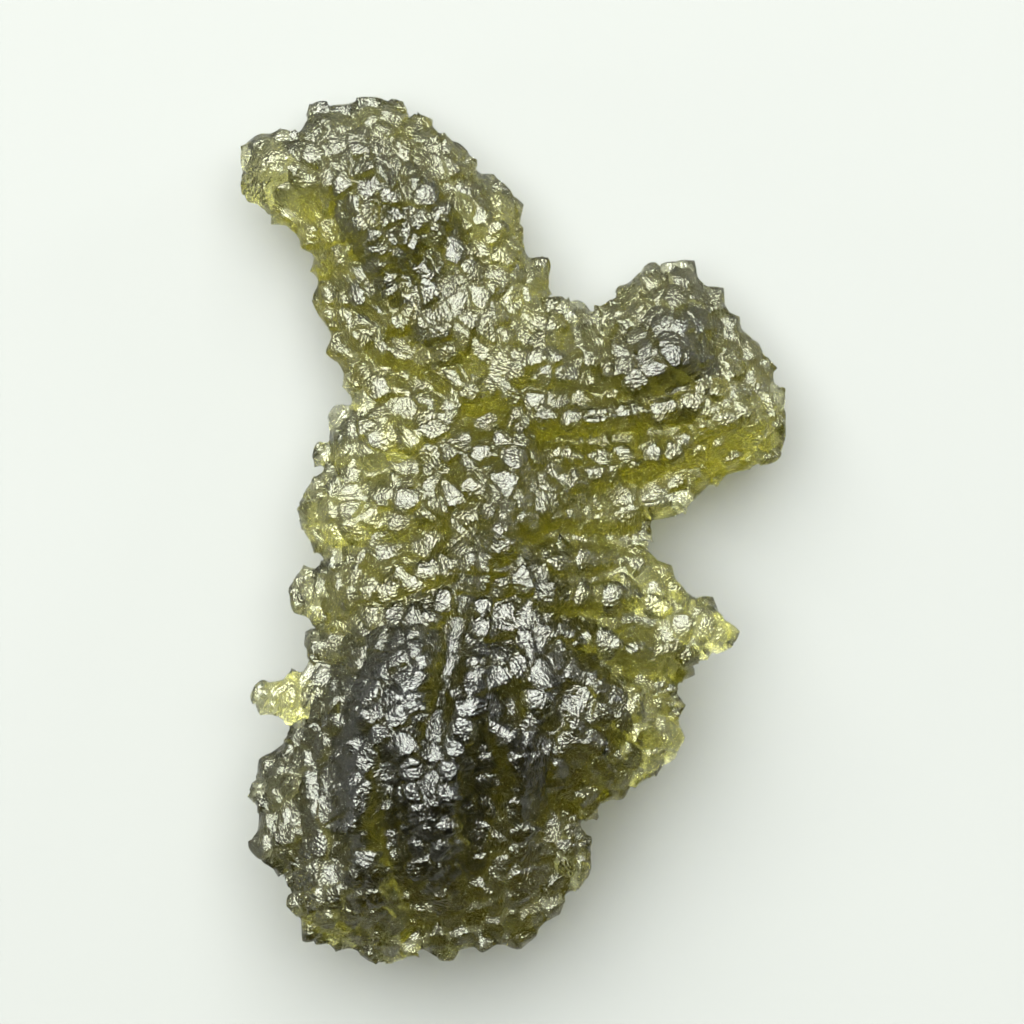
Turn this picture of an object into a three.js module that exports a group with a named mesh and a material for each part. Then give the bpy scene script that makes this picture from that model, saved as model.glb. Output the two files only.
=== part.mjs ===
// A moldavite: one loose piece of natural green glass, lying on its back.
// Seen from above it has a thick foot, a narrow hub, two arms and a spur, inside a ragged rim.
// Etching left round-bottomed furrows, hollows and dimples in it, with crests standing between them.
// The furrows run outwards from the hub. Millimetres: +X to the right arm, +Y along the stone, +Z up.

import * as THREE from 'three';
import { ConvexHull } from 'three/addons/math/ConvexHull.js';
import { ImprovedNoise } from 'three/addons/math/ImprovedNoise.js';

// Driving dimensions
const RIM_THICKNESS = 0.36;
const FOOT_RIM_HEIGHT = 3.1;
const ARM_RIM_HEIGHT = 1.75;
const FOOT_TO_ARM = { from: -3, to: 6 };
const RIM_WAVES = [
  { height: 0.8, length: 3.4 },
  { height: 0.35, length: 1.2 },
];
const RIM_WAVE_LAYER = 0.5;
const LEAST_FACE_RISE = 1.0;
const LEAST_BACK_DROP = 0.9;
const LEAST_THICKNESS = 0.5;
const ROUNDING_PER_RISE = 1.15;
const WIDEST_ROUNDING = 3.3;
const ROUNDING_POWER = 0.9;
const ETCH_FADE = 0.4;
const RIM_STEP = 0.3;
const FACE_STEP = 0.285;
const BACK_STEP = 0.4;
const STEP_JITTER = 0.22;
const RIM_CLEARANCE = 0.6;
const CURVE_PIECES = 6;
const BLUNT_END = 0.04;
const FURROW_POWER = 1.4;

// The ragged outline, anticlockwise from the top of the left arm
const leftArm = [
  [-4.0, 12.1], [-4.6, 11.9], [-5.3, 11.8], [-5.8, 11.35], [-5.95, 11.05], [-6.6, 10.9], [-7.0, 11.0],
  [-7.4, 10.75], [-7.6, 10.5], [-7.5, 10.1], [-7.55, 9.8], [-7.25, 9.2], [-6.6, 8.8], [-6.0, 8.2],
  [-5.6, 7.7], [-5.4, 7.1], [-5.5, 6.5], [-5.5, 6.15], [-5.25, 5.75], [-5.05, 5.4], [-5.0, 4.95],
  [-4.8, 4.55], [-4.55, 3.9],
];
const leftFlank = [
  [-4.5, 3.4], [-4.95, 3.35], [-5.0, 2.95], [-5.1, 2.35], [-5.45, 2.1], [-5.2, 1.75], [-5.3, 1.4],
  [-5.8, 0.9], [-5.75, 0.5], [-5.85, 0.2], [-5.6, -0.3], [-5.25, -0.6], [-5.2, -0.85], [-5.5, -1.3],
  [-6.0, -1.5], [-6.15, -1.75], [-5.9, -2.2], [-5.6, -2.5], [-5.4, -2.8], [-5.7, -3.2], [-5.6, -3.65],
  [-5.9, -4.15], [-6.45, -4.3], [-7.0, -4.4], [-7.2, -4.65], [-6.95, -4.95], [-6.3, -5.3], [-6.15, -5.85],
  [-6.7, -6.3], [-7.05, -6.75], [-7.0, -8.05], [-7.1, -8.8], [-6.9, -9.25], [-6.3, -9.5], [-6.05, -10.25],
  [-5.8, -10.9],
];
const foot = [
  [-5.4, -11.45], [-5.1, -11.4], [-4.5, -11.6], [-4.0, -11.85], [-3.75, -11.8], [-3.35, -12.1],
  [-3.0, -11.85], [-2.65, -11.55], [-2.25, -11.8], [-1.9, -11.95], [-1.45, -11.65], [-0.7, -11.55],
  [0.0, -11.55], [0.5, -11.4], [0.75, -11.05], [1.3, -10.5], [1.5, -10.0], [2.05, -9.7], [2.15, -9.35],
  [2.0, -8.75], [1.85, -8.1],
];
const rightLobe = [
  [2.2, -7.9], [2.4, -7.6], [3.0, -7.35], [3.35, -7.05], [3.8, -6.7], [4.5, -6.35], [4.6, -5.95],
  [4.55, -5.2], [4.5, -4.5],
];
const spur = [
  [4.95, -3.75], [5.5, -3.4], [5.9, -3.3], [6.0, -3.0], [5.75, -2.5], [5.25, -2.05], [4.95, -2.0],
  [4.55, -1.5], [4.0, -0.95], [3.6, -0.4],
];
const rightArm = [
  [3.8, -0.1], [3.8, 0.2], [4.5, 0.35], [4.55, 0.6], [5.1, 0.85], [5.6, 1.35], [6.3, 1.6], [6.55, 1.8],
  [7.3, 1.9], [7.6, 2.6], [7.55, 3.45], [7.2, 4.25], [6.9, 5.05], [6.15, 5.75], [5.8, 6.35], [5.25, 6.9],
  [4.7, 7.4], [4.4, 7.4], [4.1, 7.25], [3.85, 7.3], [3.35, 6.9], [3.0, 6.4], [2.7, 6.35], [2.5, 6.05],
];
const crotch = [
  [2.25, 5.9], [2.05, 6.2], [1.8, 6.35], [1.5, 6.25], [1.25, 6.45], [0.9, 6.35],
];
const leftArmInside = [
  [1.0, 6.9], [0.8, 7.35], [0.4, 7.55], [0.25, 8.05], [0.1, 8.8], [0.0, 9.2], [-0.45, 9.65], [-0.8, 9.8],
  [-1.15, 10.15], [-1.3, 10.55], [-1.55, 10.75], [-2.0, 10.9], [-2.4, 11.35], [-2.7, 11.3], [-3.15, 11.7],
  [-3.6, 12.0],
];
const OUTLINE = [
  ...leftArm, ...leftFlank, ...foot, ...rightLobe, ...spur, ...rightArm, ...crotch, ...leftArmInside,
];

// The hub: a short spine that the furrows run away from
const HUB = new THREE.Line3(new THREE.Vector3(0.2, 2.6, 0), new THREE.Vector3(-0.6, -1.4, 0));

// Swellings: how far the face rises above the rim there, and how far the back drops below it
const SWELLINGS = [
  { at: [-2.3, -6.8], reach: 4.0, face: 3.1, back: 2.5 },
  { at: [0.6, -4.6], reach: 2.6, face: 0.6, back: 0.2 },
  { at: [-0.2, 0.6], reach: 2.6, face: 1.0, back: 0.6 },
  { at: [4.4, 4.6], reach: 2.9, face: 1.2, back: 1.05 },
  { at: [-3.3, 8.4], reach: 2.9, face: 0.9, back: 1.05 },
  { at: [-1.2, 5.0], reach: 2.2, face: 0.5, back: 0.4 },
  { at: [-6.7, 10.2], reach: 0.9, face: 0.7, back: 0.5 },
  { at: [5.1, -2.9], reach: 0.9, face: 0.5, back: 0.5 },
];

// Worn spots of the back that the stone rests on
const RESTS = [
  { at: [-2.3, -6.8], reach: 2.6 },
  { at: [-3.3, 8.4], reach: 1.5 },
  { at: [4.4, 4.6], reach: 1.5 },
];

// Furrows of the face, each from its hub end outwards
const FURROWS = [
  // Foot
  { path: [[-1.3, -1.9], [-1.7, -3.4], [-2.05, -5.0], [-2.4, -6.9]], halfWidth: 0.7, depth: 1.25 },
  { path: [[-0.7, -5.2], [-0.8, -7.0], [-0.95, -8.8], [-0.8, -10.9]], halfWidth: 0.95, depth: 1.1 },
  { path: [[-3.2, -5.6], [-3.4, -7.6], [-3.2, -9.2], [-2.5, -11.0]], halfWidth: 0.75, depth: 1.25 },
  { path: [[-4.5, -4.7], [-4.9, -6.6], [-4.9, -8.6], [-4.5, -10.6]], halfWidth: 0.6, depth: 0.8 },
  { path: [[-4.4, -2.4], [-5.0, -3.6], [-5.5, -4.9], [-5.9, -6.0]], halfWidth: 0.55, depth: 0.55 },
  { path: [[-5.6, -6.6], [-5.9, -7.8], [-5.8, -9.2]], halfWidth: 0.55, depth: 0.55 },
  { path: [[0.9, -7.4], [1.0, -8.6], [1.1, -9.8]], halfWidth: 0.6, depth: 0.75 },
  // Right lobe and spur
  { path: [[1.7, -4.2], [1.1, -5.2], [0.5, -5.9]], halfWidth: 0.6, depth: 1.0 },
  { path: [[2.0, -5.2], [2.6, -5.8], [3.0, -6.5]], halfWidth: 0.55, depth: 0.75 },
  { path: [[1.0, -3.1], [2.2, -3.6], [3.2, -4.1], [4.2, -4.6]], halfWidth: 0.6, depth: 0.95 },
  { path: [[0.7, -2.3], [2.2, -2.55], [3.5, -2.5], [4.7, -2.8]], halfWidth: 0.6, depth: 0.95 },
  { path: [[0.6, -1.6], [1.9, -1.5], [3.0, -1.35], [3.9, -1.45]], halfWidth: 0.45, depth: 0.55 },
  { path: [[0.1, -0.9], [1.0, -0.3], [2.2, -0.25], [3.5, -0.35]], halfWidth: 0.6, depth: 0.9 },
  // Right arm
  { path: [[0.7, 2.4], [2.4, 2.45], [3.8, 2.75], [5.3, 2.8]], halfWidth: 0.55, depth: 1.2 },
  { path: [[0.5, 1.2], [1.9, 1.7], [3.0, 2.0], [4.0, 2.1]], halfWidth: 0.45, depth: 0.75 },
  { path: [[1.5, 0.5], [2.6, 1.1], [3.6, 1.3], [4.8, 1.7]], halfWidth: 0.6, depth: 1.0 },
  { path: [[0.9, 4.7], [1.75, 4.95], [2.6, 5.25], [2.85, 5.9]], halfWidth: 0.5, depth: 0.75 },
  { path: [[1.1, 3.5], [2.4, 3.7], [3.5, 3.55], [4.6, 3.9], [6.0, 4.3]], halfWidth: 0.55, depth: 1.05 },
  { path: [[5.0, 3.1], [5.9, 3.6], [6.6, 3.9]], halfWidth: 0.45, depth: 0.6 },
  // Left arm
  { path: [[-2.4, 4.9], [-3.6, 6.4], [-4.3, 7.5], [-5.6, 9.2]], halfWidth: 0.5, depth: 0.75 },
  { path: [[-2.1, 5.9], [-3.1, 7.1], [-3.4, 8.5], [-4.6, 10.2]], halfWidth: 0.5, depth: 0.75 },
  { path: [[-1.7, 6.1], [-2.3, 7.5], [-2.8, 8.8], [-3.6, 10.6]], halfWidth: 0.5, depth: 0.75 },
  { path: [[-0.2, 6.6], [-0.9, 7.6], [-1.6, 8.8], [-2.3, 10.1]], halfWidth: 0.55, depth: 0.6 },
  { path: [[-2.6, 4.9], [-3.3, 5.3], [-4.1, 5.9], [-4.9, 6.1]], halfWidth: 0.45, depth: 0.65 },
  { path: [[-1.7, 3.6], [-2.6, 4.0], [-3.7, 4.5], [-4.7, 5.0]], halfWidth: 0.5, depth: 0.8 },
  // Left flank
  { path: [[-1.5, 1.4], [-2.8, 1.7], [-4.0, 1.6], [-5.0, 1.7]], halfWidth: 0.55, depth: 0.55 },
  { path: [[-1.6, -0.3], [-3.0, -0.5], [-4.2, -0.7], [-5.0, -0.8]], halfWidth: 0.55, depth: 0.6 },
  { path: [[-1.4, -1.2], [-2.4, -1.9], [-3.4, -2.5], [-4.6, -3.4]], halfWidth: 0.5, depth: 0.55 },
];

// Crests that stand above their surroundings
const CRESTS = [
  // Hub, and from it to the crotch and the left flank
  { path: [[0.2, 3.5], [-0.1, 1.6], [-0.35, -0.3], [-0.65, -1.5]], halfWidth: 0.6, height: 0.6 },
  { path: [[0.6, 3.9], [1.1, 5.0], [1.5, 6.0]], halfWidth: 0.45, height: 0.45 },
  { path: [[-2.1, 0.4], [-1.5, 1.0], [-0.9, 1.6]], halfWidth: 0.4, height: 0.5 },
  { path: [[-0.9, 2.0], [-2.4, 2.5], [-4.4, 2.6]], halfWidth: 0.45, height: 0.45 },
  { path: [[-1.9, 0.6], [-3.2, 0.7], [-5.0, 0.6]], halfWidth: 0.45, height: 0.45 },
  { path: [[-0.9, -0.9], [-2.6, -1.2], [-4.6, -1.7]], halfWidth: 0.45, height: 0.45 },
  // Foot
  { path: [[-0.65, -1.6], [-1.15, -4.2], [-1.4, -6.0], [-2.2, -8.6]], halfWidth: 0.5, height: 0.6 },
  { path: [[-0.6, -5.0], [0.0, -6.2], [0.2, -7.4], [0.3, -10.0]], halfWidth: 0.4, height: 0.6 },
  { path: [[-3.9, -4.6], [-4.25, -6.5], [-4.0, -8.5], [-3.4, -10.6]], halfWidth: 0.5, height: 0.5 },
  // Spur
  { path: [[-0.3, -1.0], [1.3, -1.95], [3.5, -2.0], [5.8, -2.9]], halfWidth: 0.5, height: 0.55 },
  { path: [[1.0, -2.8], [2.4, -3.1], [3.8, -3.4], [4.9, -3.6]], halfWidth: 0.4, height: 0.55 },
  { path: [[0.6, -1.3], [1.5, -0.9], [2.6, -0.85], [3.6, -0.9]], halfWidth: 0.4, height: 0.45 },
  // Arms
  { path: [[0.8, 3.0], [3.0, 3.0], [4.9, 3.3]], halfWidth: 0.4, height: 0.55 },
  { path: [[1.9, 0.8], [2.5, 1.5], [3.6, 1.75], [5.0, 2.2]], halfWidth: 0.4, height: 0.5 },
  { path: [[2.6, 4.6], [3.4, 3.95], [4.6, 4.55]], halfWidth: 0.5, height: 0.6 },
  { path: [[-2.7, 5.3], [-3.4, 5.8], [-4.8, 6.4]], halfWidth: 0.4, height: 0.45 },
  { path: [[-0.1, 6.7], [-0.5, 8.2], [-1.1, 9.2], [-2.1, 10.7]], halfWidth: 0.5, height: 0.5 },
];

// Round hollows of the face, with their reach along X and along Y
const HOLLOWS = [
  { at: [-0.7, 3.0], reach: [1.1, 0.65], depth: 1.0 },
  { at: [2.15, 4.1], reach: [0.5, 0.45], depth: 0.8 },
  { at: [5.6, 4.2], reach: [0.6, 0.45], depth: 0.7 },
  { at: [0.0, -4.9], reach: [0.7, 0.8], depth: 1.2 },
  { at: [-0.5, 7.0], reach: [0.5, 0.45], depth: 0.6 },
  { at: [-4.4, 6.0], reach: [0.45, 0.35], depth: 0.5 },
  { at: [-2.1, -0.2], reach: [0.6, 0.45], depth: 0.5 },
  { at: [2.9, 0.9], reach: [0.8, 0.45], depth: 0.9 },
];

// Round knobs of the face
const KNOBS = [
  { at: [4.6, 5.9], reach: 1.4, rise: 0.7 },
  { at: [-3.2, -10.9], reach: 0.9, rise: 0.4 },
  { at: [0.8, -5.0], reach: 0.7, rise: 0.4 },
  { at: [-3.6, -3.4], reach: 1.1, rise: 0.5 },
];

// Dimples and the furrows of the back, placed by a seeded draw
const DIMPLE_STEP = 1.05;
const DIMPLE_REACH = { least: 0.38, most: 0.62 };
const DIMPLE_DEPTH = 0.75;
const DIMPLE_STRETCH = { least: 1.0, most: 1.6 };
const BACK_FURROW_COUNT = 17;
const BACK_FURROW_STOPS = [0, 0.33, 0.67, 1];
const BACK_FURROW = { from: 1.4, to: 12, scatter: 0.5, bend: 0.5, halfWidth: 0.6, depth: 0.75 };
const SEEDS = { face: 11, back: 23, faceDimples: 37, backDimples: 41, backFurrows: 53 };

const { clamp, lerp, seededRandom, smoothstep } = THREE.MathUtils;
const noise = new ImprovedNoise();

// A curve through the points of a path, as short straight pieces
function curved(path) {
  const points = path.map(([x, y]) => new THREE.Vector2(x, y));
  return new THREE.SplineCurve(points).getPoints(CURVE_PIECES * (path.length - 1));
}

// Distance from a point to a chain of short pieces, and the share of the chain gone by there
function nearestOn(chain, x, y) {
  let best = { distance: Infinity, share: 0 };
  for (let i = 0; i + 1 < chain.length; i++) {
    const [a, b] = [chain[i], chain[i + 1]];
    const [dx, dy] = [b.x - a.x, b.y - a.y];
    const along = clamp(((x - a.x) * dx + (y - a.y) * dy) / (dx * dx + dy * dy), 0, 1);
    const distance = Math.hypot(x - a.x - along * dx, y - a.y - along * dy);
    if (distance < best.distance) best = { distance, share: (i + along) / (chain.length - 1) };
  }
  return best;
}

// Corners of the rim: every outline point, and more between those that are far apart
function rimCorners() {
  const points = OUTLINE.map(([x, y]) => new THREE.Vector3(x, y, 0));
  const curve = new THREE.CatmullRomCurve3(points, true, 'centripetal');
  const corners = [];
  points.forEach((point, i) => {
    const next = points[(i + 1) % points.length];
    const pieces = Math.max(1, Math.round(point.distanceTo(next) / RIM_STEP));
    for (let j = 0; j < pieces; j++) corners.push(curve.getPoint((i + j / pieces) / points.length));
  });
  return corners;
}

const rim = rimCorners();
const rimChain = [...rim, rim[0]];

function isInside(x, y) {
  let inside = false;
  rim.forEach((a, i) => {
    const b = rimChain[i + 1];
    if (a.y > y !== b.y > y && x < a.x + ((y - a.y) * (b.x - a.x)) / (b.y - a.y)) inside = !inside;
  });
  return inside;
}

// Points of a jittered triangular lattice inside the rim
function scatter(step, clearance, seed) {
  seededRandom(seed);
  const points = [];
  const box = new THREE.Box3().setFromPoints(rim);
  const rowStep = (step * Math.sqrt(3)) / 2;
  for (let row = 0; box.min.y + row * rowStep < box.max.y; row++) {
    for (let x = box.min.x + (row % 2) * (step / 2); x < box.max.x; x += step) {
      const px = x + (2 * seededRandom() - 1) * STEP_JITTER * step;
      const py = box.min.y + row * rowStep + (2 * seededRandom() - 1) * STEP_JITTER * step;
      if (isInside(px, py) && nearestOn(rimChain, px, py).distance > clearance) points.push([px, py]);
    }
  }
  return points;
}

// Direction of the etching at a point: straight away from the hub
function flowAt(x, y) {
  const point = new THREE.Vector3(x, y, 0);
  return point.clone().sub(HUB.closestPointToPoint(point, true, new THREE.Vector3())).normalize();
}

// Small pits drawn out along the flow
function dimples(seed) {
  const centres = scatter(DIMPLE_STEP, DIMPLE_REACH.least, seed);
  return centres.map(([x, y]) => {
    const reach = lerp(DIMPLE_REACH.least, DIMPLE_REACH.most, seededRandom());
    const stretch = lerp(DIMPLE_STRETCH.least, DIMPLE_STRETCH.most, seededRandom());
    return { x, y, flow: flowAt(x, y), across: reach, along: reach * stretch, depth: reach * DIMPLE_DEPTH };
  });
}

function dimpleDepth(list, x, y) {
  let deepest = 0;
  for (const pit of list) {
    const [dx, dy] = [x - pit.x, y - pit.y];
    const along = (dx * pit.flow.x + dy * pit.flow.y) / pit.along;
    const across = (dx * pit.flow.y - dy * pit.flow.x) / pit.across;
    deepest = Math.max(deepest, pit.depth * (1 - along * along - across * across));
  }
  return deepest;
}

// How much of a furrow or crest is left at a share of its length: all at the middle, little at both ends
function taper(share) {
  return Math.sqrt(Math.sin(Math.PI * clamp(share, BLUNT_END, 1 - BLUNT_END)));
}

// Furrows with a round floor and eased edges
function furrowDepth(list, x, y) {
  let deepest = 0;
  for (const { chain, halfWidth, depth } of list) {
    const { distance, share } = nearestOn(chain, x, y);
    if (distance > halfWidth) continue;
    const profile = (1 - (distance / halfWidth) ** 2) ** FURROW_POWER;
    deepest = Math.max(deepest, depth * taper(share) * profile);
  }
  return deepest;
}

function hollowDepth(x, y) {
  let deepest = 0;
  for (const { at, reach, depth } of HOLLOWS) {
    const spread = ((x - at[0]) / reach[0]) ** 2 + ((y - at[1]) / reach[1]) ** 2;
    deepest = Math.max(deepest, depth * (1 - spread));
  }
  return deepest;
}

// Crests with straight sides and a sharp top
function crestHeight(x, y) {
  let highest = 0;
  for (const { chain, halfWidth, height } of crests) {
    const { distance, share } = nearestOn(chain, x, y);
    if (distance > halfWidth) continue;
    highest = Math.max(highest, height * taper(share) * (1 - distance / halfWidth));
  }
  return highest;
}

// A bell that is 1 at its centre and dies away over its reach
function bell({ at, reach }, x, y) {
  return Math.exp(-((x - at[0]) ** 2 + (y - at[1]) ** 2) / (reach * reach));
}

// The bells of a list added up, each as high as its value of that name
function bellSum(list, name, x, y) {
  return list.reduce((sum, entry) => sum + entry[name] * bell(entry, x, y), 0);
}

// Furrows of the back, all round the hub and each with a bend of its own
function backFurrows() {
  const list = [];
  seededRandom(SEEDS.backFurrows);
  const middle = HUB.getCenter(new THREE.Vector3());
  for (let i = 0; i < BACK_FURROW_COUNT; i++) {
    const angle = (2 * Math.PI * (i + BACK_FURROW.scatter * seededRandom())) / BACK_FURROW_COUNT;
    const bend = BACK_FURROW.bend * (seededRandom() - 0.5);
    const path = BACK_FURROW_STOPS.map((share) => {
      const reach = lerp(BACK_FURROW.from, BACK_FURROW.to, share);
      const turn = angle + bend * share;
      return [middle.x + reach * Math.cos(turn), middle.y + reach * Math.sin(turn)];
    });
    list.push({ chain: curved(path), halfWidth: BACK_FURROW.halfWidth, depth: BACK_FURROW.depth });
  }
  return list;
}

const furrows = FURROWS.map((furrow) => ({ ...furrow, chain: curved(furrow.path) }));
const crests = CRESTS.map((crest) => ({ ...crest, chain: curved(crest.path) }));
const furrowsOfBack = backFurrows();
const dimplesOfFace = dimples(SEEDS.faceDimples);
const dimplesOfBack = dimples(SEEDS.backDimples);

// Height of the middle of the rim above the resting plane, carried on across the stone
function rimHeight(x, y) {
  const level = lerp(FOOT_RIM_HEIGHT, ARM_RIM_HEIGHT, smoothstep(y, FOOT_TO_ARM.from, FOOT_TO_ARM.to));
  const waves = RIM_WAVES.map(({ height, length }) => {
    return height * noise.noise(x / length, y / length, RIM_WAVE_LAYER);
  });
  return waves.reduce((sum, wave) => sum + wave, level);
}

// Rise of a rounded edge: nothing at the rim, all of it well inside
function rounded(rise, distance) {
  const share = Math.min(1, distance / Math.min(WIDEST_ROUNDING, ROUNDING_PER_RISE * rise));
  return rise * Math.sin((share * Math.PI) / 2) ** ROUNDING_POWER;
}

function backHeight(x, y) {
  const { distance } = nearestOn(rimChain, x, y);
  const swell = LEAST_BACK_DROP + bellSum(SWELLINGS, 'back', x, y);
  const worn = Math.max(...RESTS.map((rest) => bell(rest, x, y)));
  const etched = Math.hypot(furrowDepth(furrowsOfBack, x, y), dimpleDepth(dimplesOfBack, x, y));
  const fade = Math.min(1, distance / ETCH_FADE) * (1 - worn);
  const drop = Math.max(0, rounded(swell, distance) - fade * etched);
  return Math.max(0, rimHeight(x, y) - RIM_THICKNESS / 2 - drop);
}

function faceHeight(x, y) {
  const { distance } = nearestOn(rimChain, x, y);
  const swell = LEAST_FACE_RISE + bellSum(SWELLINGS, 'face', x, y) + bellSum(KNOBS, 'rise', x, y);
  const carved = Math.max(furrowDepth(furrows, x, y), hollowDepth(x, y));
  const etched = Math.hypot(carved, dimpleDepth(dimplesOfFace, x, y));
  const fade = Math.min(1, distance / ETCH_FADE);
  const rise = Math.max(0, rounded(swell, distance) + fade * (crestHeight(x, y) - etched));
  const height = rimHeight(x, y) + RIM_THICKNESS / 2 + rise;
  return Math.max(height, backHeight(x, y) + Math.min(LEAST_THICKNESS, RIM_THICKNESS + distance));
}

// Triangles that join flat points with no point inside any triangle's circle: the underside of the
// hull of the points lifted onto a paraboloid
function triangulated(points) {
  const lifted = points.map(([x, y]) => new THREE.Vector3(x, y, x * x + y * y));
  const indexOf = new Map(lifted.map((point, i) => [point, i]));
  const triangles = [];
  for (const face of new ConvexHull().setFromPoints(lifted).faces) {
    if (face.normal.z >= 0) continue;
    const corners = [0, 1, 2].map((i) => indexOf.get(face.getEdge(i).head().point));
    const [x, y] = [0, 1].map((axis) => corners.reduce((sum, c) => sum + points[c][axis], 0) / 3);
    if (isInside(x, y)) triangles.push(corners.reverse());
  }
  return triangles;
}

// One side of the stone: its points start with the rim's corners
function sheet(step, seed, heightAt) {
  const flat = [...rim.map(({ x, y }) => [x, y]), ...scatter(step, RIM_CLEARANCE * step, seed)];
  return { points: flat.map(([x, y]) => [x, y, heightAt(x, y)]), triangles: triangulated(flat) };
}

// The face above, the back below, and the narrow wall of the rim between them
function stoneGeometry() {
  const face = sheet(FACE_STEP, SEEDS.face, faceHeight);
  const back = sheet(BACK_STEP, SEEDS.back, backHeight);
  const start = face.points.length;
  const turned = back.triangles.map((corners) => corners.map((corner) => corner + start).reverse());
  const index = [...face.triangles, ...turned];
  rim.forEach((_, i) => {
    const next = (i + 1) % rim.length;
    index.push([start + i, start + next, next], [start + i, next, i]);
  });
  const geometry = new THREE.BufferGeometry();
  const positions = [...face.points, ...back.points].flat();
  geometry.setAttribute('position', new THREE.Float32BufferAttribute(positions, 3));
  geometry.setIndex(index.flat());
  geometry.computeBoundingBox();
  const middle = geometry.boundingBox.getCenter(new THREE.Vector3());
  geometry.translate(-middle.x, -middle.y, -geometry.boundingBox.min.z);
  geometry.computeVertexNormals();
  return geometry;
}

const greenGlass = new THREE.MeshPhysicalMaterial({
  color: 0x7c8438,
  roughness: 0.12,
  metalness: 0,
  transmission: 0.9,
  ior: 1.49,
  thickness: 4,
  attenuationColor: 0x8a8f2c,
  attenuationDistance: 3,
});

const moldavite = new THREE.Mesh(stoneGeometry(), greenGlass);
moldavite.name = 'moldavite';

const stone = new THREE.Group();
stone.add(moldavite);

export default stone;
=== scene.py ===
# Looks of a moldavite: a loose, deeply etched piece of natural green glass, lying face up on a pale table.
import math
import random

import bmesh
import bpy
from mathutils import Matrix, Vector, kdtree, noise


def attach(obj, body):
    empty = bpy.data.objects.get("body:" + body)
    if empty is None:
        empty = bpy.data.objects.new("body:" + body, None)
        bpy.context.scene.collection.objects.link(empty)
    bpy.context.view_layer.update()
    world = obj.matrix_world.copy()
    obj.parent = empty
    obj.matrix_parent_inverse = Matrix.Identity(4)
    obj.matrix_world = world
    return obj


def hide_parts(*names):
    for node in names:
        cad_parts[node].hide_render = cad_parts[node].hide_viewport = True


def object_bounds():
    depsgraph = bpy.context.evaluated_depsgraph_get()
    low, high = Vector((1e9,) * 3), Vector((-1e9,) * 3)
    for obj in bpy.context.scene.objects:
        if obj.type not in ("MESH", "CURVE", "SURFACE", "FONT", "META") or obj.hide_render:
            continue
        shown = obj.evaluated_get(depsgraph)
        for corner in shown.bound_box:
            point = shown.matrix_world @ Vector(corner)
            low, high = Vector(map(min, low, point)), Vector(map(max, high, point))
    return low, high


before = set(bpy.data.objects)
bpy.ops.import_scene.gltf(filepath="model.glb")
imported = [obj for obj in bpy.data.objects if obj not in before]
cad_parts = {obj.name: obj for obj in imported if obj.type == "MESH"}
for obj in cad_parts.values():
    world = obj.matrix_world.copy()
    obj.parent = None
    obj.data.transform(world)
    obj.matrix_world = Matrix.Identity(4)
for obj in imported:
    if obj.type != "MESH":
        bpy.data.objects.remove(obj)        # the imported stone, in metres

cad_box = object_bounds()
MM = 0.001

# The frame that the camera sees, in the stone's own millimetres
FRAME_WIDTH = 28.67 * MM
FRAME_CENTRE = Vector((-0.03, 0.42, 2.1)) * MM
CAMERA_DISTANCE = 120 * MM
NEAREST = 5 * MM
SENSOR = 36.0

# Half the side of the table
TABLE_HALF = 600 * MM

# Each lamp: name, direction from the stone, distance and size in metres, power in watts, colour
LAMPS = [
    ("upper_softbox", (-0.14, 0.46, 0.88), 0.40, 0.56, 16.0, "#fafff7"),
    ("broad_softbox", (-0.14, 0.46, 0.88), 0.42, 1.1, 9.5, "#fafff7"),
    ("right_softbox", (0.82, 0.42, 0.30), 0.36, 0.09, 0.6, "#f4fbff"),
    ("left_softbox", (-0.90, -0.25, 0.30), 0.36, 0.08, 0.35, "#f9fff7"),
]
WORLD_STRENGTH = 0.01

# The etching runs away from this short spine
HUB_TOP = Vector((0.2, 2.6, 2.2)) * MM
HUB_FOOT = Vector((-0.6, -1.4, 2.2)) * MM

# The skin: the solid is made this fine, and its facets are smoothed away
MERGE = 0.001 * MM
FINE_CUTS = 3
SMOOTHING = 0.8
FACET_ROUNDS = 3

# More smoothing finds its small and its broad relief.
# The small relief is sharpened and the broad hollows are deepened by these shares.
LEVEL_ROUNDS = 24
BROAD_ROUNDS = 60
SHARPEN = 0.4
DEEPEN = 0.3

# Lumps with flat, slightly tilted tops stand in rows along the flow, with clefts between them.
# Low grains cover everything.
LUMPS = {"gap": 0.55 * MM, "stretch": 1.35, "height": 0.26 * MM, "cleft": 0.3, "tilt": 0.2,
         "flat": 0.9, "seed": 3}
GRAINS = {"gap": 0.16 * MM, "stretch": 1.2, "height": 0.012 * MM, "cleft": 0.7, "tilt": 0.5,
          "flat": 0.0, "seed": 8}
NEIGHBOURS = 9
LOWEST_TOP = 0.45
CLEFT_SHARE = 0.5

# Lumps are lower in the hollows, whose edges wander, and die out where the skin is steep
SMOOTH_HOLLOW = -0.26 * MM
ROUGH_CREST = -0.04 * MM
HOLLOW_SHARE = 0.5
HOLLOW_WAVE = {"length": 1.1 * MM, "height": 0.14 * MM}
RIM_LEAN = (0.1, 0.4)

# Small sharp spikes stand out all round the rim
SPIKES = {"gap": 0.85 * MM, "reach": 0.36 * MM, "height": 0.34 * MM, "seed": 5}
RIM_STEEP = 0.5

# The finest pits that are drawn on the skin
PIT_GAP = 0.085 * MM
PIT_DEPTH = 0.035 * MM


def linear(hex_colour):
    """The linear colour of an sRGB hex value, with full alpha."""
    channels = [int(hex_colour[i:i + 2], 16) / 255 for i in (1, 3, 5)]
    return [c / 12.92 if c <= 0.04045 else ((c + 0.055) / 1.055) ** 2.4 for c in channels] + [1.0]


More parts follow.
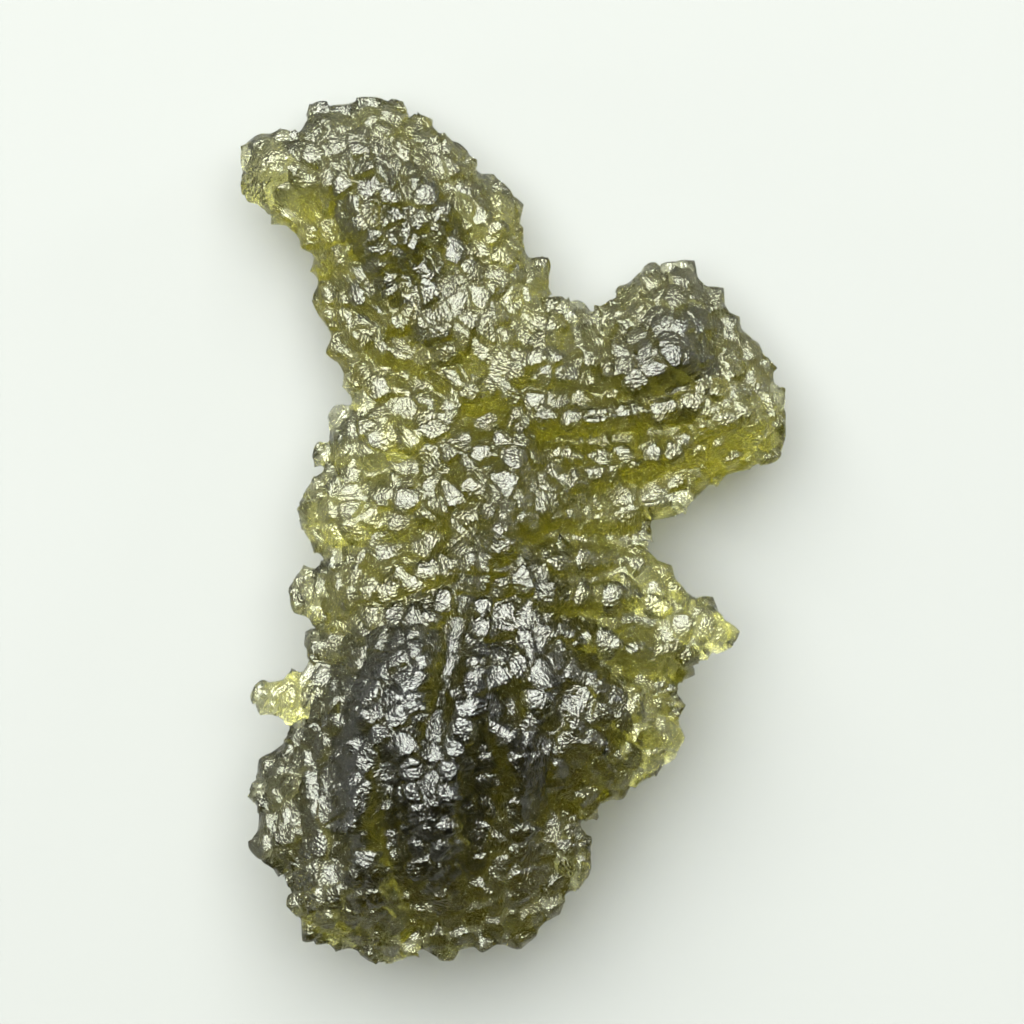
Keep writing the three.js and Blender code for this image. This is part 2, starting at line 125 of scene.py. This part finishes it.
def add_node(tree, kind, settings=(), links=()):
    """A node of a kind, with its settings by the name of a socket or property, and its links by the name of
    an input, each from a node and an output."""
    node = tree.nodes.new(kind)
    for name, value in dict(settings).items():
        if name in node.inputs:
            node.inputs[name].default_value = value
        else:
            setattr(node, name, value)
    for name, (source, output) in dict(links).items():
        tree.links.new(source.outputs[output], node.inputs[name])
    return node


def new_material(name):
    material = bpy.data.materials.new(name)
    material.use_nodes = True
    material.node_tree.nodes.clear()
    return material, material.node_tree


def smoothstep(low, high, value):
    share = min(1.0, max(0.0, (value - low) / (high - low)))
    return share * share * (3 - 2 * share)


def flow_at(point):
    """The direction of the etching: straight away from the hub."""
    spine = HUB_FOOT - HUB_TOP
    share = min(1.0, max(0.0, (point - HUB_TOP).dot(spine) / spine.length_squared))
    return (point - HUB_TOP - share * spine).normalized()


def spread(points, gap, seed):
    """Which points of a list to keep so that no two are closer than a gap."""
    kept = {}
    order = list(range(len(points)))
    random.Random(seed).shuffle(order)
    around = [(x, y, z) for x in (-1, 0, 1) for y in (-1, 0, 1) for z in (-1, 0, 1)]
    for i in order:
        cell = tuple(math.floor(c / gap) for c in points[i])
        near = (kept.get(tuple(c + o for c, o in zip(cell, offset)), ()) for offset in around)
        if all((points[i] - points[other]).length > gap for group in near for other in group):
            kept.setdefault(cell, []).append(i)
    return [i for group in kept.values() for i in group]


def lump_heights(points, levels, gap, stretch, height, cleft, tilt, flat, seed):
    """How far each point stands out: lumps drawn out along the flow, with clefts between them and with flat
    tops that are each level with their own middle."""
    centres = spread(points, gap, seed)
    flows = {i: flow_at(points[i]) for i in centres}
    draw = random.Random(seed + 1)
    tops = {i: draw.uniform(LOWEST_TOP, 1.0) for i in centres}
    tilts = {i: Vector([draw.uniform(-tilt, tilt) for _ in range(3)]) for i in centres}
    tree = kdtree.KDTree(len(centres))
    for i in centres:
        tree.insert(points[i], i)
    tree.balance()
    shorten = 1 - 1 / stretch ** 2
    heights = []
    for point, level in zip(points, levels):
        reaches = []
        for centre, i, distance in tree.find_n(point, NEIGHBOURS):
            along = (point - centre).dot(flows[i])
            reaches.append((math.sqrt(max(0.0, distance ** 2 - shorten * along ** 2)), i))
        (nearest, lump), (second, _) = sorted(reaches)[:2]
        top = tops[lump] + tilts[lump].dot(point - points[lump]) / gap
        inside = smoothstep(0, cleft, (second - nearest) / gap)
        heights.append(height * (inside * top - CLEFT_SHARE) + flat * inside * (levels[lump] - level))
    return heights


def rim_spikes(points, normals, gap, reach, height, seed):
    """How far each point stands out: sharp spikes of many heights round the rim, where the skin is steep."""
    rim = [point for point, normal in zip(points, normals) if abs(normal.z) < RIM_STEEP]
    draw = random.Random(seed)
    tree = kdtree.KDTree(len(rim))
    tops = {}
    for i in spread(rim, gap, seed):
        tree.insert(rim[i], i)
        tops[i] = draw.uniform(LOWEST_TOP, 1.0)
    tree.balance()
    heights = []
    for point in points:
        _, i, distance = tree.find(point)
        heights.append(height * tops[i] * max(0.0, 1 - distance / reach))
    return heights


def smooth(skin, rounds):
    for _ in range(rounds):
        bmesh.ops.smooth_vert(skin, verts=skin.verts, factor=SMOOTHING,
                              use_axis_x=True, use_axis_y=True, use_axis_z=True)


def etched_skin():
    """The stone's skin: its solid made fine, with lumps along the flow and spikes round the rim."""
    skin = bmesh.new()
    skin.from_mesh(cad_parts["moldavite"].data)
    bmesh.ops.remove_doubles(skin, verts=skin.verts, dist=MERGE)
    bmesh.ops.subdivide_edges(skin, edges=skin.edges, cuts=FINE_CUTS, use_grid_fill=True)
    smooth(skin, FACET_ROUNDS)
    skin.normal_update()
    base = [vertex.co.copy() for vertex in skin.verts]
    normals = [vertex.normal.copy() for vertex in skin.verts]
    smooth(skin, LEVEL_ROUNDS)
    relief = [(place - vertex.co).dot(normal) for place, vertex, normal in zip(base, skin.verts, normals)]
    smooth(skin, BROAD_ROUNDS)
    broad = [(place - vertex.co).dot(normal) for place, vertex, normal in zip(base, skin.verts, normals)]
    lumps = lump_heights(base, broad, **LUMPS)
    grains = lump_heights(base, broad, **GRAINS)
    spikes = rim_spikes(base, normals, **SPIKES)
    low, high = cad_box
    for vertex, place, normal, rise, level, lump, grain, spike in zip(
            skin.verts, base, normals, relief, broad, lumps, grains, spikes):
        wave = HOLLOW_WAVE["height"] * noise.noise(place / HOLLOW_WAVE["length"])
        share = HOLLOW_SHARE + (1 - HOLLOW_SHARE) * smoothstep(SMOOTH_HOLLOW, ROUGH_CREST, level + wave)
        lump *= smoothstep(*RIM_LEAN, abs(normal.z))
        place = place + normal * (SHARPEN * rise + DEEPEN * min(0.0, level) + share * lump + grain + spike)
        vertex.co = [min(high[i], max(low[i], place[i])) for i in range(3)]
    mesh = bpy.data.meshes.new("moldavite_skin")
    skin.to_mesh(mesh)
    skin.free()
    mesh.shade_smooth()
    return mesh


def moldavite_glass():
    """Natural glass, etched: clear inside and coloured by its depth, pale yellow-green where it is thin and
    brown-black where it is thick. Fine pits frost its skin, so that lumps facing the light turn pale grey.
    The real pits go down to much finer ones, and they are drawn as coarse as they need to be to show."""
    material, tree = new_material("moldavite_glass")
    place = add_node(tree, "ShaderNodeTexCoord")
    pits = add_node(tree, "ShaderNodeTexVoronoi", {"Scale": 1 / PIT_GAP, "Randomness": 1.0},
                    {"Vector": (place, "Object")})
    pitted = add_node(tree, "ShaderNodeBump", {"Strength": 0.75, "Distance": PIT_DEPTH},
                      {"Height": (pits, "Distance")})
    gloss = add_node(tree, "ShaderNodeMapRange", {"To Min": 0.1, "To Max": 0.28},
                     {"Value": (pits, "Distance")})
    glass = add_node(tree, "ShaderNodeBsdfPrincipled",
                     {"Base Color": linear("#ffffff"), "IOR": 1.5, "Transmission Weight": 1.0},
                     {"Roughness": (gloss, "Result"), "Normal": (pitted, "Normal")})
    depth = add_node(tree, "ShaderNodeVolumeAbsorption", {"Color": linear("#dddb92"), "Density": 1200.0})
    add_node(tree, "ShaderNodeOutputMaterial",
             links={"Surface": (glass, "BSDF"), "Volume": (depth, "Volume")})
    return material


def pale_table():
    """A matt board in mid grey, which the strong light makes pale."""
    material, tree = new_material("pale_table")
    board = add_node(tree, "ShaderNodeBsdfPrincipled",
                     {"Base Color": linear("#656565"), "Roughness": 1.0, "Specular IOR Level": 0.0})
    add_node(tree, "ShaderNodeOutputMaterial", links={"Surface": (board, "BSDF")})
    return material


def moldavite():
    piece = bpy.data.objects.new("moldavite_stone", etched_skin())
    bpy.context.scene.collection.objects.link(piece)
    piece.data.materials.append(moldavite_glass())
    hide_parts("moldavite")
    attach(piece, "root")


def table():
    board = bmesh.new()
    bmesh.ops.create_grid(board, x_segments=1, y_segments=1, size=TABLE_HALF)
    mesh = bpy.data.meshes.new("table")
    board.to_mesh(mesh)
    board.free()
    mesh.materials.append(pale_table())
    floor = bpy.data.objects.new("table", mesh)
    bpy.context.scene.collection.objects.link(floor)


def softbox(name, direction, distance, size, power, colour):
    lamp = bpy.data.lights.new(name, "AREA")
    lamp.shape = "SQUARE"
    lamp.size = size
    lamp.energy = power
    lamp.color = linear(colour)[:3]
    box = bpy.data.objects.new(name, lamp)
    away = Vector(direction).normalized()
    box.location = FRAME_CENTRE + away * distance
    box.rotation_euler = (-away).to_track_quat("-Z", "Y").to_euler()
    bpy.context.scene.collection.objects.link(box)


def studio():
    """Two soft lamps high above, one in front of the other, and two small ones low at the sides."""
    for lamp in LAMPS:
        softbox(*lamp)
    world = bpy.data.worlds.new("studio")
    world.use_nodes = True
    background = world.node_tree.nodes["Background"]
    background.inputs["Color"].default_value = linear("#ffffff")
    background.inputs["Strength"].default_value = WORLD_STRENGTH
    bpy.context.scene.world = world


def camera_above():
    """Straight above the face, with the stone where the photograph has it."""
    lens = bpy.data.cameras.new("camera")
    lens.sensor_width = SENSOR
    lens.lens = SENSOR * CAMERA_DISTANCE / FRAME_WIDTH
    lens.clip_start = NEAREST
    camera = bpy.data.objects.new("camera", lens)
    camera.location = FRAME_CENTRE + Vector((0, 0, CAMERA_DISTANCE))
    bpy.context.scene.collection.objects.link(camera)
    bpy.context.scene.camera = camera


def light_paths():
    """Enough bounces for light to cross the glass a few times, with the few lamps picked evenly."""
    cycles = bpy.context.scene.cycles
    cycles.max_bounces = 6
    cycles.transmission_bounces = 6
    cycles.glossy_bounces = 4
    cycles.use_light_tree = False
    cycles.use_denoising = True
    bpy.context.scene.view_settings.view_transform = "Standard"


moldavite()
table()
studio()
camera_above()
light_paths()
bpy.context.view_layer.update()
